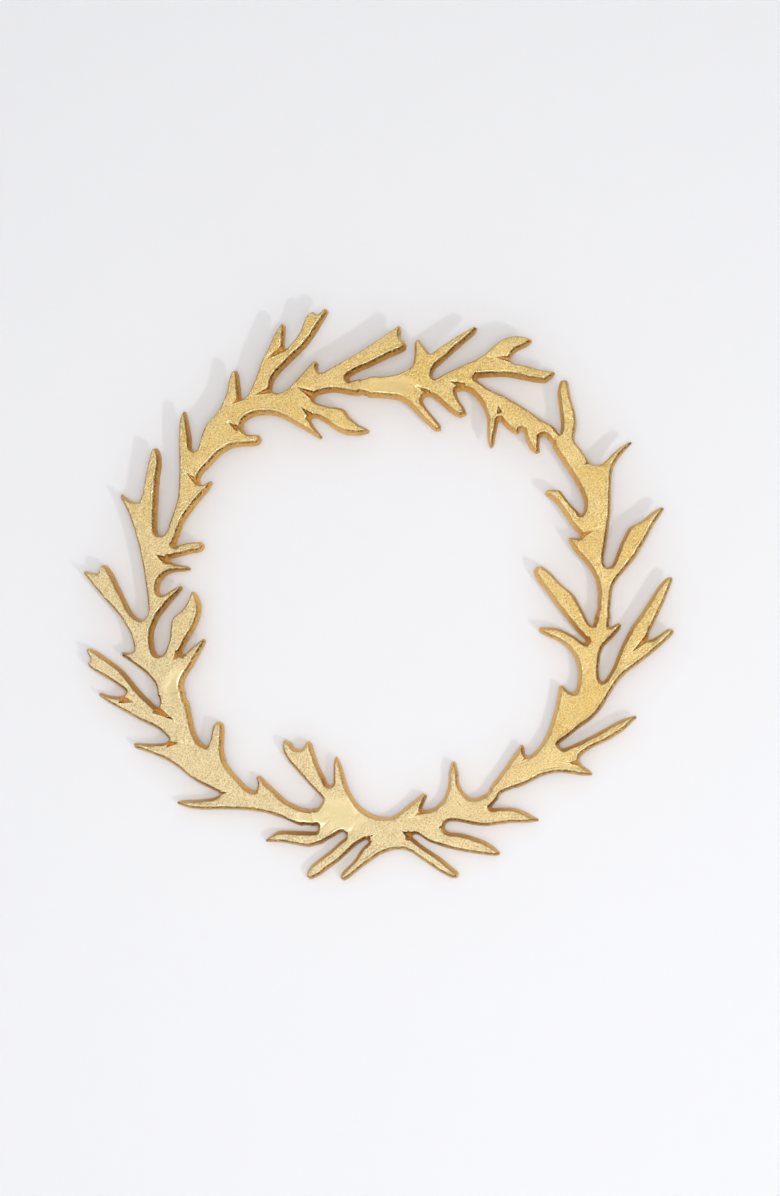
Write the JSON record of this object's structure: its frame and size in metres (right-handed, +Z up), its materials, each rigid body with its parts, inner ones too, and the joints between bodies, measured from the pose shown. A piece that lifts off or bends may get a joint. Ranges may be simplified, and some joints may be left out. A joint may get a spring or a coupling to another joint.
{
  "type": "wall wreath",
  "caption": "Round wall wreath of flat, thorny cast metal sprigs welded end to end into an open ring, with a hanging loop on the back.",
  "frame": {"origin": "where the wall hook bears, on the underside of the hanging loop's bar and straight above the centre of mass", "axes": "+Z up as the wreath hangs, -Y out of the decorative front into the room, +X to the right as seen from the front; the flat back lies in the plane y = -12 mm"},
  "size_m": [0.5017, 0.025, 0.4879],
  "materials": {
    "cast_gold": "gold-finished sand casting, grainy flat faces and worn bright edges",
    "weld_gold": "weld ground smooth at the front and brushed, gold finish",
    "loop_rod": "bent round rod, gold finish",
    "loop_weld": "fillet weld, gold finish"
  },
  "bodies": {
    "root": {"sprig_bottom": "cast_gold", "sprig_lower_right": "cast_gold", "sprig_upper_right": "cast_gold", "sprig_top": "cast_gold", "sprig_upper_left": "cast_gold", "sprig_left": "cast_gold", "sprig_lower_left": "cast_gold", "weld_bottom": "weld_gold", "weld_lower_right": "weld_gold", "weld_right": "weld_gold", "weld_upper_right": "weld_gold", "weld_top": "weld_gold", "weld_upper_left": "weld_gold", "weld_left": "weld_gold", "hanging_loop": "loop_rod", "loop_weld_left": "loop_weld", "loop_weld_right": "loop_weld"}
  },
  "joints": []
}
